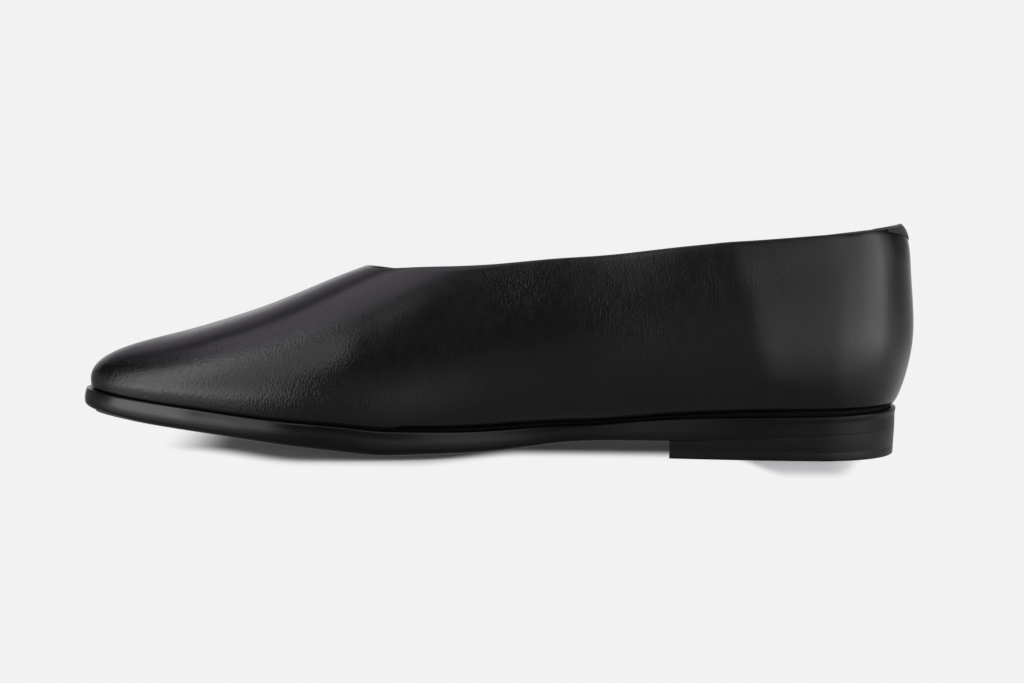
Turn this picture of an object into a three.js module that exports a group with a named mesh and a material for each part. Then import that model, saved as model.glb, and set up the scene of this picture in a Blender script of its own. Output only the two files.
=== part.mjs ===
// Ballet flat, right shoe. Millimetres, +Z up, floor at z = 0.
// The toe points to -X, the heel to +X and the inner (medial) side to -Y.
import * as THREE from 'three';

// Lengths along the shoe
const lastLength = 257; // feather line, from the back of the heel to the tip of the toe
const heelBack = 126.9; // x of the feather line at the back of the heel
const heelBlockLength = 73; // back of the feather line to the breast of the heel
const breastSlant = 3.5; // how much shorter the heel block is on the outer side
const vampLength = 87; // tip of the toe to the throat
const throatLength = 26; // stretch behind the throat in which the opening grows quickly
const toeReach = 30; // how far behind the tip the ribs of the toe spread from
const heelReach = 30; // the same for the ribs of the heel
const toeFanFrom = 0.78; // station from which the ribs spread towards the toe
const heelFanTo = 0.22; // station up to which they spread towards the heel
const swingFrom = 0.55; // station from which the toe swings to the inner side
const leanFrom = 0.2; // station from which the instep leans
const dropReach = 0.95; // angle around the back in which the outer topline falls off
const dropThroat = 0.09; // stations behind the throat in which it rises again

// Widths and fullness
const ballWidth = 76; // unit of the widths along the feather line, about the ball's own width
const toeSwing = 4; // how far the tip of the toe swings to the inner side
const instepLean = 3; // how far the ridge of the instep leans to the inner side
const fullness = 5.3; // how far the wall of the heel bellies out over the feather line

// Heights
const heelLift = 9.1; // underside of the outsole at the back, above the floor
const toeSpring = 11.3; // underside of the outsole at the tip, above the floor
const vampHeight = 47.4; // ridge at the throat, above the feather line
const quarterHeight = 55.9; // topline at the back, above the feather line
const outerDrop = 4.2; // how much lower the outer topline lies than the inner one

// Thicknesses, edges and clearances
const upperWall = 1.8;
const soleThickness = 9; // outsole at the ball, from tread to top edge
const midsoleThickness = 1.5; // black layer that shows as a line over the outsole
const insoleThickness = 3;
const treadCamber = 1.3; // how much the sides of the tread rise over its middle
const flatTread = 0.5; // share of the tread's width that is flat
const edgeRound = 3.4; // rounding of the outsole's lower edge
const edgeBevel = 0.5; // small bevel along the outsole's top edge
const soleExtension = 2.2; // how far the outsole stands out around the toe
const heelTaper = 0.4; // how much the heel block narrows from top to floor
const heelCorner = 1; // rounding of the heel block's lower edge
const tabThickness = 0.6;
const tabReach = 0.31; // half of the heel tab, as an angle around the shoe
const tabDepth = 6.5; // heel tab, down from the topline at the back
const tabSideDepth = 1.4; // the same at its two sides
const midsoleSetBack = 0.4; // edge of the midsole behind the feather line
const insoleClearance = 0.45; // between the insole and the lining
const pieceGap = 0.3;

const throatStation = 1 - vampLength / lastLength;
const breastStation = heelBlockLength / lastLength;

// Feather line in plan. Stations run from 0 at the heel to 1 at the toe; widths are shares of
// the ball width; both ends are rounded off afterwards
const planTable = [
  { station: 0.0, inner: 0.324, outer: 0.324 },
  { station: 0.14, inner: 0.332, outer: 0.345 },
  { station: 0.28, inner: 0.297, outer: 0.379 },
  { station: 0.42, inner: 0.268, outer: 0.424 },
  { station: 0.55, inner: 0.368, outer: 0.484 },
  { station: 0.68, inner: 0.487, outer: 0.516 },
  { station: 0.82, inner: 0.495, outer: 0.482 },
  { station: 1.0, inner: 0.408, outer: 0.355 },
];
const endRounding = { toe: 0.3, toePower: 2.4, heel: 0.105, heelPower: 2.2 };

// Cross sections. Power is how square a section is, belly the height share of its fullest
// point, and the belly sizes are shares of the fullness
const sectionTable = [
  { station: 0.0, power: 4.0, belly: 0.49, inner: 1.0, outer: 1.0 },
  { station: 0.15, power: 3.4, belly: 0.44, inner: 0.95, outer: 0.95 },
  { station: 0.3, power: 3.0, belly: 0.36, inner: 1.1, outer: 0.8 },
  { station: 0.43, power: 2.8, belly: 0.33, inner: 1.3, outer: 0.7 },
  { station: 0.56, power: 2.4, belly: 0.34, inner: 0.8, outer: 0.5 },
  { station: 0.7, power: 2.2, belly: 0.34, inner: 0.35, outer: 0.4 },
  { station: 0.85, power: 2.4, belly: 0.36, inner: 0.2, outer: 0.25 },
  { station: 1.0, power: 2.7, belly: 0.4, inner: 0.06, outer: 0.06 },
];
const openCarry = 0.84; // part of the belly's arc that an open rib runs through
const carryFrom = 0.3; // station from which it grows to the whole arc at the throat

// Ridge of the closed last above the feather line, as a share of the vamp height. Behind the
// throat it lies over the opening
const ridgeTable = [
  { station: 0.0, rise: 2.03 },
  { station: 0.1, rise: 1.6 },
  { station: 0.2, rise: 1.49 },
  { station: 0.3, rise: 1.44 },
  { station: 0.4, rise: 1.385 },
  { station: 0.5, rise: 1.305 },
  { station: 0.56, rise: 1.225 },
  { station: 0.61, rise: 1.122 },
  { station: 0.66, rise: 0.995 },
  { station: 0.73, rise: 0.8 },
  { station: 0.78, rise: 0.661 },
  { station: 0.83, rise: 0.536 },
  { station: 0.88, rise: 0.43 },
  { station: 0.93, rise: 0.345 },
  { station: 1.0, rise: 0.255 },
];

// Topline on the inner side from the heel to the throat, as a share of the way up from the
// ridge at the throat to the quarter height
const toplineTable = [
  { station: 0.0, rise: 1.0 },
  { station: 0.1, rise: 0.823 },
  { station: 0.2, rise: 0.615 },
  { station: 0.3, rise: 0.478 },
  { station: 0.4, rise: 0.43 },
  { station: 0.5, rise: 0.342 },
  { station: 0.6, rise: 0.205 },
  { station: throatStation, rise: 0.0 },
];

// Underside of the outsole along its middle, as shares of the heel lift and the toe spring
const archTable = [
  { station: 0.0, rise: 1.0 },
  { station: 0.14, rise: 0.835 },
  { station: 0.28, rise: 0.62 },
  { station: 0.37, rise: 0.49 },
  { station: 0.42, rise: 0.35 },
  { station: 0.46, rise: 0.18 },
  { station: 0.51, rise: 0.035 },
  { station: 0.55, rise: 0.0 },
];
const springTable = [
  { station: 0.615, rise: 0.0 },
  { station: 0.64, rise: 0.022 },
  { station: 0.66, rise: 0.07 },
  { station: 0.68, rise: 0.132 },
  { station: 0.73, rise: 0.272 },
  { station: 0.78, rise: 0.415 },
  { station: 0.83, rise: 0.56 },
  { station: 0.88, rise: 0.672 },
  { station: 0.93, rise: 0.785 },
  { station: 1.0, rise: 1.0 },
];

// Outsole and midsole along the shoe: thickness of each as a share of its named thickness,
// extension over the feather line as a share of the sole extension, and roundness of the edge
const soleTable = [
  { station: 0.0, outsole: 0.74, midsole: 0.7, extension: 0.15, roundness: 0.0 },
  { station: 0.12, outsole: 0.74, midsole: 1.0, extension: 0.45, roundness: 0.0 },
  { station: 0.29, outsole: 0.76, midsole: 0.9, extension: 0.5, roundness: 0.1 },
  { station: 0.38, outsole: 0.65, midsole: 1.0, extension: 0.4, roundness: 0.5 },
  { station: 0.47, outsole: 0.84, midsole: 0.9, extension: 0.6, roundness: 0.9 },
  { station: 0.56, outsole: 0.93, midsole: 0.6, extension: 0.85, roundness: 1.0 },
  { station: 0.66, outsole: 1.01, midsole: 0.4, extension: 0.9, roundness: 1.0 },
  { station: 0.8, outsole: 0.92, midsole: 0.34, extension: 1.0, roundness: 1.0 },
  { station: 0.92, outsole: 0.9, midsole: 0.34, extension: 0.97, roundness: 1.0 },
  { station: 1.0, outsole: 0.83, midsole: 0.34, extension: 0.93, roundness: 1.0 },
];

// Edge of the outsole from its top down. The inset is given in shares of the bevel and of the
// rounding; the level is a share of the edge's height, where the edge is round and where not
const edgeTable = [
  { bevel: 1, rounding: 0.0, roundLevel: 1.0, squareLevel: 1.0 },
  { bevel: 0, rounding: 0.0, roundLevel: 0.93, squareLevel: 0.93 },
  { bevel: 0, rounding: 0.0, roundLevel: 0.45, squareLevel: 0.6 },
  { bevel: 0, rounding: 0.12, roundLevel: 0.22, squareLevel: 0.2 },
  { bevel: 0, rounding: 0.42, roundLevel: 0.07, squareLevel: 0.05 },
  { bevel: 0, rounding: 1.0, roundLevel: 0.0, squareLevel: 0.0 },
];

// Side of the heel block from its top down: the first row follows the outsole, the others lie
// over the floor. Rise and inset are shares of the rounding of its lower edge
const heelTable = [
  { onFloor: false, rise: 0, inset: 0 },
  { onFloor: true, rise: 2, inset: 0 },
  { onFloor: true, rise: 0.35, inset: 0.3 },
  { onFloor: true, rise: 0, inset: 1 },
];

// How finely the faceted solids are divided
const ribsAlongQuarter = 15;
const ribsAlongThroat = 5;
const ribsAlongVamp = 13;
const rowsUpRib = 9;
const soleStrips = 4;
const tabColumns = 8;

// Smooth curve (natural cubic spline) through one column of a table
function curve(table, column) {
  const x = table.map((row) => row.station);
  const y = table.map((row) => row[column]);
  const last = x.length - 1;
  const bend = new Array(last + 1).fill(0);
  const carryOver = new Array(last + 1).fill(0);
  for (let i = 1; i < last; i++) {
    const before = x[i] - x[i - 1];
    const after = x[i + 1] - x[i];
    const pivot = 2 * (before + after) - before * carryOver[i - 1];
    const turn = 6 * ((y[i + 1] - y[i]) / after - (y[i] - y[i - 1]) / before);
    carryOver[i] = after / pivot;
    bend[i] = (turn - before * bend[i - 1]) / pivot;
  }
  for (let i = last - 1; i > 0; i--) bend[i] -= carryOver[i] * bend[i + 1];
  return (station) => {
    const s = THREE.MathUtils.clamp(station, x[0], x[last]);
    let i = 0;
    while (i < last - 1 && s > x[i + 1]) i++;
    const step = x[i + 1] - x[i];
    const left = (x[i + 1] - s) / step;
    const right = (s - x[i]) / step;
    const sag = (bend[i] * (left ** 3 - left) + bend[i + 1] * (right ** 3 - right)) * step * step / 6;
    return left * y[i] + right * y[i + 1] + sag;
  };
}

const innerWidth = curve(planTable, 'inner');
const outerWidth = curve(planTable, 'outer');
const sectionPower = curve(sectionTable, 'power');
const bellyHeight = curve(sectionTable, 'belly');
const innerBelly = curve(sectionTable, 'inner');
const outerBelly = curve(sectionTable, 'outer');
const ridgeRise = curve(ridgeTable, 'rise');
const toplineRise = curve(toplineTable, 'rise');
const archRise = curve(archTable, 'rise');
const springRise = curve(springTable, 'rise');
const outsoleShare = curve(soleTable, 'outsole');
const midsoleShare = curve(soleTable, 'midsole');
const extensionShare = curve(soleTable, 'extension');
const roundnessShare = curve(soleTable, 'roundness');

const share = (value, from, to) => THREE.MathUtils.clamp((value - from) / (to - from), 0, 1);
const ease = (value) => value * value * (3 - 2 * value);

// A place around the shoe is an angle: 0 at the back of the heel, growing to PI at the toe
// along the outer side and to -PI along the inner side
const stationAt = (angle) => (1 - Math.cos(angle)) / 2;
const angleAt = (station) => Math.acos(1 - 2 * station);
const lengthwise = (station) => heelBack - lastLength * station;

// Heights along the shoe, from the floor up
function treadHeight(station) {
  const arch = heelLift * archRise(station);
  const spring = toeSpring * springRise(station);
  return Math.max(0, arch) + Math.max(0, spring);
}
const outsoleTop = (station) => treadHeight(station) + soleThickness * outsoleShare(station);
const midsoleBottom = (station) => outsoleTop(station) + pieceGap;
const midsoleTop = (station) => midsoleBottom(station) + midsoleThickness * midsoleShare(station);
const featherHeight = (station) => midsoleTop(station) + pieceGap;

// Middle line of the plan, which swings to the inner side at the toe
const middleLine = (station) => -toeSwing * share(station, swingFrom, 1) ** 2;

// Feather line in plan: a width that both ends round off
function featherPlan(angle) {
  const station = stationAt(angle);
  const width = ballWidth * (angle < 0 ? innerWidth(station) : outerWidth(station));
  const toe = share(1 - station, 0, endRounding.toe);
  const heel = share(station, 0, endRounding.heel);
  const toeRound = Math.sqrt(1 - (1 - toe) ** endRounding.toePower);
  const heelRound = Math.sqrt(1 - (1 - heel) ** endRounding.heelPower);
  const across = Math.sign(angle) * width * toeRound * heelRound;
  return new THREE.Vector2(lengthwise(station), middleLine(station) + across);
}

// The feather line moved outwards by a distance
function outline(angle, distance) {
  const small = 0.002;
  const ahead = featherPlan(wrap(angle + small));
  const behind = featherPlan(wrap(angle - small));
  const along = ahead.sub(behind).normalize();
  return featherPlan(angle).add(new THREE.Vector2(-along.y, along.x).multiplyScalar(-distance));
}

// Angles that run past the toe come back along the other side
function wrap(angle) {
  if (angle > Math.PI) return angle - 2 * Math.PI;
  if (angle < -Math.PI) return angle + 2 * Math.PI;
  return angle;
}

// Top of the ribs in plan: a line over the middle of the shoe, from which they fan out at the
// toe and the heel
function spinePlan(station) {
  const toeFan = toeReach * ease(share(station, toeFanFrom, 1));
  const heelFan = heelReach * (1 - ease(share(station, 0, heelFanTo)));
  const lean = instepLean * Math.sin(Math.PI * share(station, leanFrom, 1));
  return new THREE.Vector2(lengthwise(station) + toeFan - heelFan, middleLine(station) - lean);
}

// Heights over the feather line: the ridge of the closed last, and the topline on the inner side
const ridgeHeight = (station) => vampHeight * ridgeRise(station);
function toplineHeight(station) {
  return THREE.MathUtils.lerp(ridgeHeight(throatStation), quarterHeight, toplineRise(station));
}

// Where a rib ends, as a share of the way up to the ridge of the closed last. The outer
// topline lies lower than the inner one between the back and the throat
function ribCut(angle) {
  const station = stationAt(angle);
  if (station >= throatStation) return 1;
  const fromBack = Math.sin((Math.PI / 2) * share(angle, 0, dropReach));
  const fromThroat = Math.sin((Math.PI / 2) * share(throatStation - station, 0, dropThroat));
  return (toplineHeight(station) - outerDrop * fromBack * fromThroat) / ridgeHeight(station);
}

// Point of the outer surface: angle goes around the shoe, climb from 0 at the feather line to
// 1 at the topline or ridge. A rib is a superellipse between feather line and spine, pushed
// out by a belly
function upperPoint(angle, climb) {
  const station = stationAt(angle);
  const power = sectionPower(station);
  const cut = Math.min(1, ribCut(angle));
  const topTurn = Math.asin(cut ** (power / 2));
  const turn = topTurn * climb ** (power / 2);
  const height = Math.sin(turn) ** (2 / power);
  const reach = Math.max(0, Math.cos(turn)) ** (2 / power);
  const carry = THREE.MathUtils.lerp(openCarry, 1, ease(share(station, carryFrom, throatStation)));
  const lift = Math.log(0.5 / carry) / Math.log(bellyHeight(station));
  const belly = fullness * (angle < 0 ? innerBelly(station) : outerBelly(station));
  const push = belly * Math.sin(Math.PI * carry * (height / cut) ** lift);
  const spine = spinePlan(station);
  const rib = featherPlan(angle).sub(spine);
  const plan = spine.clone().addScaledVector(rib, reach + push / rib.length());
  const feather = featherHeight(station);
  const planStation = station < throatStation ? station : (heelBack - plan.x) / lastLength;
  const peak = ridgeHeight(planStation) + featherHeight(planStation) - feather;
  return new THREE.Vector3(plan.x, plan.y, feather + peak * height);
}

// Closed solid put together from points and faces; equal points are shared
class Solid {
  constructor() {
    this.points = [];
    this.faces = [];
    this.known = new Map();
  }

  point(p) {
    const key = [p.x, p.y, p.z].map((value) => Math.round(value * 2000)).join(' ');
    if (!this.known.has(key)) {
      this.known.set(key, this.points.length);
      this.points.push(p.clone());
    }
    return this.known.get(key);
  }

  triangle(a, b, c) {
    if (a !== b && b !== c && a !== c) this.faces.push([a, b, c]);
  }

  // Splits a four cornered face along its shorter diagonal
  quad(a, b, c, d) {
    const [p, q, r, s] = [a, b, c, d].map((id) => this.points[id]);
    if (p.distanceTo(r) <= q.distanceTo(s)) {
      this.triangle(a, b, c);
      this.triangle(a, c, d);
    } else {
      this.triangle(a, b, d);
      this.triangle(b, c, d);
    }
  }

  // Joins two rows of point numbers by a band
  band(rowA, rowB) {
    for (let i = 0; i + 1 < rowA.length; i++) this.quad(rowA[i], rowA[i + 1], rowB[i + 1], rowB[i]);
  }

  geometry() {
    const flat = this.points.flatMap((p) => [p.x, p.y, p.z]);
    const result = new THREE.BufferGeometry();
    result.setAttribute('position', new THREE.Float32BufferAttribute(flat, 3));
    result.setIndex(this.faces.flat());
    result.computeVertexNormals();
    return result;
  }
}

// Angles of the ribs on one side, from the heel to the toe, closer together behind the throat
function sideAngles() {
  const opened = throatStation - throatLength / lastLength;
  const angles = [];
  for (let i = 0; i < ribsAlongQuarter; i++) angles.push(angleAt(opened) * (i / ribsAlongQuarter));
  for (let i = 0; i < ribsAlongThroat; i++) {
    const turn = (Math.PI / 2) * (1 - i / ribsAlongThroat);
    angles.push(angleAt(throatStation - (throatLength / lastLength) * (1 - Math.cos(turn))));
  }
  const throat = angleAt(throatStation);
  for (let i = 0; i <= ribsAlongVamp; i++) angles.push(throat + (Math.PI - throat) * (i / ribsAlongVamp));
  return angles;
}

// All ribs in one loop: up the outer side to the toe and back along the inner side
function loopAngles() {
  const side = sideAngles();
  const back = side.slice(1, -1).reverse().map((angle) => -angle);
  return [...side, ...back];
}

// Wall of the upper: the outer skin, the same skin moved inwards, and the strips between them
// at the feather line and along the topline
function buildUpper() {
  const angles = loopAngles();
  const solid = new Solid();
  const outer = angles.map((angle) => {
    const rows = [];
    for (let row = 0; row <= rowsUpRib; row++) rows.push(solid.point(upperPoint(angle, row / rowsUpRib)));
    return rows;
  });
  const next = (i) => (i + 1) % angles.length;
  angles.forEach((angle, i) => solid.band(outer[i], outer[next(i)]));
  const normals = solid.geometry().getAttribute('normal');
  const skinCount = solid.points.length;
  const skinFaces = [...solid.faces];
  const bottom = new Set(outer.map((rows) => rows[0]));
  for (let i = 0; i < skinCount; i++) {
    const inward = new THREE.Vector3().fromBufferAttribute(normals, i).multiplyScalar(upperWall);
    const p = solid.points[i].clone().add(inward);
    if (bottom.has(i)) p.z = solid.points[i].z;
    solid.points.push(p);
  }
  skinFaces.forEach(([a, b, c]) => solid.triangle(a + skinCount, c + skinCount, b + skinCount));
  angles.forEach((angle, i) => {
    const j = next(i);
    const a = outer[i][0];
    const b = outer[j][0];
    solid.quad(a, b, b + skinCount, a + skinCount);
    const open = Math.min(stationAt(angle), stationAt(angles[j])) < throatStation - 1e-6;
    if (!open) return;
    const c = outer[i][rowsUpRib];
    const d = outer[j][rowsUpRib];
    solid.quad(d, c, c + skinCount, d + skinCount);
  });
  const lining = outer.map((rows) => rows.map((id) => solid.points[id + skinCount]));
  return { solid, angles, lining };
}

// Plate with the same angles as the upper's ribs: each level gives a closed line of points,
// and straight rungs close the first and the last level
function stackPlate(levels, topRungs, bottomRungs) {
  const solid = new Solid();
  const rings = levels.map((level) => level.map((p) => solid.point(p)));
  const count = rings[0].length;
  const half = count / 2;
  for (let level = 0; level + 1 < rings.length; level++) {
    solid.band([...rings[level], rings[level][0]], [...rings[level + 1], rings[level + 1][0]]);
  }
  const cover = (ring, rungs, flip) => {
    const row = (i) => {
      const a = ring[i];
      const b = ring[(count - i) % count];
      return rungs(i, solid.points[a], solid.points[b]).map((p) => solid.point(p));
    };
    for (let i = 0; i < half; i++) {
      const near = row(i);
      const far = row(i + 1);
      if (flip) solid.band(far, near);
      else solid.band(near, far);
    }
  };
  cover(rings[0], topRungs, false);
  cover(rings[rings.length - 1], bottomRungs, true);
  return solid;
}

const straightRung = (i, a, b) => [a, b];

// Outsole: flat top, beveled top edge, upright side, round lower edge and a tread that is flat
// in the middle and rises to its sides
function buildOutsole(angles) {
  const levels = edgeTable.map((row) => angles.map((angle) => {
    const station = stationAt(angle);
    const round = roundnessShare(station);
    const inset = edgeBevel * row.bevel + edgeRound * round * row.rounding;
    const edge = outline(angle, soleExtension * extensionShare(station) - inset);
    const lowest = treadHeight(station) + treadCamber * round;
    const level = THREE.MathUtils.lerp(row.squareLevel, row.roundLevel, round);
    const z = THREE.MathUtils.lerp(lowest, outsoleTop(station), level);
    return new THREE.Vector3(edge.x, edge.y, z);
  }));
  const treadRung = (i, a, b) => {
    const station = stationAt(angles[i]);
    const rungs = [];
    for (let strip = 0; strip <= soleStrips; strip++) {
      const across = strip / soleStrips;
      const p = a.clone().lerp(b, across);
      const outward = share(Math.abs(2 * across - 1), flatTread, 1);
      const low = treadHeight(station) + treadCamber * roundnessShare(station) * outward ** 2;
      if (strip > 0 && strip < soleStrips) p.z = Math.min(p.z, low);
      rungs.push(p);
    }
    return rungs;
  };
  return stackPlate(levels, straightRung, treadRung);
}

// Midsole: thin plate between outsole and upper, set back a little from the feather line
function buildMidsole(angles) {
  const level = (height) => angles.map((angle) => {
    const edge = outline(angle, -midsoleSetBack);
    return new THREE.Vector3(edge.x, edge.y, height(stationAt(angle)));
  });
  return stackPlate([level(midsoleTop), level(midsoleBottom)], straightRung, straightRung);
}

// Insole: lies on the midsole inside the upper and follows its lining
function buildInsole(angles, lining) {
  const level = (rise) => angles.map((angle, i) => {
    const station = stationAt(angle);
    const height = featherHeight(station) + rise;
    const rib = lining[i];
    let row = 1;
    while (row + 1 < rib.length && rib[row].z < height) row++;
    const t = THREE.MathUtils.clamp((height - rib[row - 1].z) / (rib[row].z - rib[row - 1].z), 0, 1);
    const p = rib[row - 1].clone().lerp(rib[row], t);
    const middle = spinePlan(station);
    const inward = new THREE.Vector3(middle.x - p.x, middle.y - p.y, 0).normalize();
    p.addScaledVector(inward, insoleClearance);
    return p.setZ(height);
  });
  return stackPlate([level(insoleThickness), level(0)], straightRung, straightRung);
}

// Heel block: follows the outsole down to a flat floor face and ends in an upright breast,
// which lies further back on the outer side
function buildHeel() {
  const innerBreast = angleAt(breastStation);
  const outerBreast = angleAt(breastStation - breastSlant / lastLength);
  const breastLine = (y) => {
    const across = share(y, featherPlan(-innerBreast).y, featherPlan(outerBreast).y);
    return lengthwise(breastStation) + breastSlant * across;
  };
  const loop = [];
  for (let i = ribsAlongQuarter; i > 0; i--) loop.push(-innerBreast * (i / ribsAlongQuarter));
  for (let i = 0; i <= ribsAlongQuarter; i++) loop.push(outerBreast * (i / ribsAlongQuarter));
  const last = loop.length - 1;
  const solid = new Solid();
  const rings = heelTable.map((row) => loop.map((angle, i) => {
    const station = stationAt(angle);
    const top = treadHeight(station) - pieceGap;
    const z = row.onFloor ? row.rise * heelCorner : top;
    const narrow = heelTaper * (1 - z / top) + row.inset * heelCorner;
    const edge = outline(angle, soleExtension * extensionShare(station) - narrow);
    const front = breastLine(edge.y);
    return solid.point(new THREE.Vector3(i === 0 || i === last ? front : edge.x, edge.y, z));
  }));
  for (let level = 0; level + 1 < rings.length; level++) {
    solid.band(rings[level], rings[level + 1]);
    solid.quad(rings[level][last], rings[level][0], rings[level + 1][0], rings[level + 1][last]);
  }
  const cover = (ring, flip) => {
    for (let i = 0; i < last / 2; i++) {
      const corners = [ring[i], ring[last - i], ring[last - i - 1], ring[i + 1]];
      if (flip) corners.reverse();
      solid.quad(...corners);
    }
  };
  cover(rings[0], false);
  cover(rings[rings.length - 1], true);
  return solid;
}

// Outward direction of the upper's skin at a point, and the direction up along its rib
function skinFrame(angle, climb) {
  const small = 0.004;
  const point = upperPoint(angle, climb);
  const around = upperPoint(angle + small, climb).sub(upperPoint(angle - small, climb));
  const up = point.clone().sub(upperPoint(angle, climb - small)).normalize();
  const out = around.cross(up).normalize();
  return { point, out, up };
}

// Heel tab: a sheet that covers the back of the collar, deepest in the middle, and is folded
// over the topline
function buildHeelTab() {
  const far = pieceGap + tabThickness;
  const sheet = (distance) => {
    const grid = [];
    for (let i = 0; i <= tabColumns; i++) {
      const across = (2 * i) / tabColumns - 1;
      const angle = tabReach * across;
      const depth = THREE.MathUtils.lerp(tabDepth, tabSideDepth, Math.abs(across));
      const climbs = [1 - depth / quarterHeight, 1 - (0.5 * depth) / quarterHeight, 1];
      const top = skinFrame(angle, 1);
      const outside = climbs.map((climb) => {
        const at = skinFrame(angle, climb);
        return at.point.addScaledVector(at.out, distance);
      });
      outside[2].addScaledVector(top.up, distance);
      const inside = [0, 0.5, 1].map((way) => {
        const at = skinFrame(angle, 1 - (way * depth) / quarterHeight);
        return at.point.addScaledVector(at.out, -(upperWall + distance));
      });
      inside[0].addScaledVector(top.up, distance);
      grid.push([...outside, ...inside]);
    }
    return grid;
  };
  const solid = new Solid();
  const near = sheet(pieceGap).map((rows) => rows.map((p) => solid.point(p)));
  const away = sheet(far).map((rows) => rows.map((p) => solid.point(p)));
  for (let i = 0; i < tabColumns; i++) {
    solid.band(away[i + 1], away[i]);
    solid.band(near[i], near[i + 1]);
  }
  const lastRow = near[0].length - 1;
  const column = (grid, row) => grid.map((rows) => rows[row]);
  solid.band(column(near, 0), column(away, 0));
  solid.band(column(away, lastRow), column(near, lastRow));
  solid.band(away[0], near[0]);
  solid.band(near[tabColumns], away[tabColumns]);
  return solid;
}

// Signed volume, to turn a solid whose faces point inwards
function volume(solid) {
  return solid.faces.reduce((sum, [a, b, c]) => {
    const [p, q, r] = [solid.points[a], solid.points[b], solid.points[c]];
    return sum + p.dot(q.clone().cross(r)) / 6;
  }, 0);
}

function mesh(name, solid, color, roughness) {
  if (volume(solid) < 0) solid.faces.forEach((face) => face.reverse());
  const material = new THREE.MeshStandardMaterial({ color, roughness, metalness: 0 });
  const result = new THREE.Mesh(solid.geometry(), material);
  result.name = name;
  return result;
}

const upper = buildUpper();
const group = new THREE.Group();
group.add(mesh('outsole', buildOutsole(upper.angles), 0x17171a, 0.3));
group.add(mesh('heel', buildHeel(), 0x1b1a1a, 0.4));
group.add(mesh('midsole', buildMidsole(upper.angles), 0x0c0c0c, 0.8));
group.add(mesh('insole', buildInsole(upper.angles, upper.lining), 0x1e1c1b, 0.7));
group.add(mesh('upper', upper.solid, 0x1a1a1a, 0.5));
group.add(mesh('heel_tab', buildHeelTab(), 0x202020, 0.55));

export default group;
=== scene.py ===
import bpy
import numpy as np
from mathutils import Matrix


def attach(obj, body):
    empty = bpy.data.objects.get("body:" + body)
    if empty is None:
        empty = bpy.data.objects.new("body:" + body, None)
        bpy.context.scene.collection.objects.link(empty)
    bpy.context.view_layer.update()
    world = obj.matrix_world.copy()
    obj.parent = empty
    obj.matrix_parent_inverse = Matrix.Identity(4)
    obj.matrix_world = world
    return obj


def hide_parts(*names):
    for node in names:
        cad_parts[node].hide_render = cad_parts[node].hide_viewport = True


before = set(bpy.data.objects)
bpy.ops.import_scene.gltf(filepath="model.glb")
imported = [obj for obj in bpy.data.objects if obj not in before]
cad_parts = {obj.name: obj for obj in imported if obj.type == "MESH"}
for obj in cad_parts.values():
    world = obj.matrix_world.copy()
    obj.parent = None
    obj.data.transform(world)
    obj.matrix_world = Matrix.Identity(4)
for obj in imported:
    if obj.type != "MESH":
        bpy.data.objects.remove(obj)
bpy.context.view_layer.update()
mm = 0.001
print("frame loaded")

# The last that the shoe is built on

lastShape = {
    "length": 257.0,  # feather line, from the back of the heel to the tip of the toe
    "heelBack": 126.9,  # x of the feather line at the back
    "ballWidth": 76.0,  # unit of the widths along the feather line
    "toeSwing": 4.0,  # how far the toe swings to the inner side
    "swingFrom": 0.55,
    "instepLean": 3.0,  # how far the ridge leans to the inner side
    "leanFrom": 0.2,
    "toeReach": 30.0,  # how far behind the tip the ribs of the toe spread from
    "heelReach": 30.0,
    "toeFanFrom": 0.78,
    "heelFanTo": 0.22,
    "fullness": 5.3,  # how far the wall bellies out over the feather line
    "toeRound": (0.3, 2.4),  # length as a share of the shoe, and power, of the rounded end
    "heelRound": (0.105, 2.2),
    "heelLift": 9.1,
    "toeSpring": 11.3,
    "vampLength": 87.0,
    "throatLength": 26.0,
    "vampHeight": 47.4,
    "quarterHeight": 56.2,
    "outerDrop": 4.2,  # how much lower the outer topline is
    "dropReach": 0.95,
    "dropThroat": 0.09,
    "openCarry": 0.84,
    "carryFrom": 0.3,
    "soleThickness": 9.0,
    "midsoleThickness": 1.5,
    "gap": 0.3,
    "extension": 2.2,  # how far the outsole stands out around the toe
    "collarRoll": (0.22, 1.6),  # how far the leather turns in under the topline, and over what height
    "backRoll": (0.7, 3.5),  # the same at the back of the heel, under the tab
    "backFull": (0.55, 0.36, 0.2),  # how far the counter swells at the back, where, and how wide
    "backTop": (0.75, 6.0, 8.0),  # the same under the tab, measured from the topline
}
throatStation = 1 - lastShape["vampLength"] / lastShape["length"]

# Half widths of the feather line, as shares of the ball width
planTable = {
    "station": [0.0, 0.14, 0.28, 0.42, 0.55, 0.68, 0.82, 1.0],
    "inner": [0.324, 0.332, 0.297, 0.268, 0.368, 0.487, 0.495, 0.408],
    "outer": [0.324, 0.345, 0.379, 0.424, 0.484, 0.516, 0.482, 0.355],
}
# Cross sections: how square, height share of the fullest point, and fullness of both sides
sectionTable = {
    "station": [0.0, 0.15, 0.3, 0.43, 0.56, 0.7, 0.85, 1.0],
    "power": [4.0, 3.4, 3.0, 2.8, 2.4, 2.2, 2.4, 2.7],
    "belly": [0.49, 0.44, 0.36, 0.33, 0.34, 0.34, 0.36, 0.4],
    "inner": [1.0, 0.95, 1.1, 1.3, 0.8, 0.35, 0.2, 0.06],
    "outer": [1.0, 0.95, 0.8, 0.7, 0.5, 0.4, 0.25, 0.06],
}
# Ridge of the closed last over the feather line, as a share of the vamp height
ridgeTable = {
    "station": [0.0, 0.1, 0.2, 0.3, 0.4, 0.5, 0.56, 0.61, 0.66, 0.73, 0.78, 0.83, 0.88, 0.93, 1.0],
    "rise": [2.03, 1.6, 1.49, 1.44, 1.385, 1.305, 1.225, 1.122, 0.995, 0.8, 0.661, 0.536, 0.43, 0.345, 0.255],
}
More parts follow.
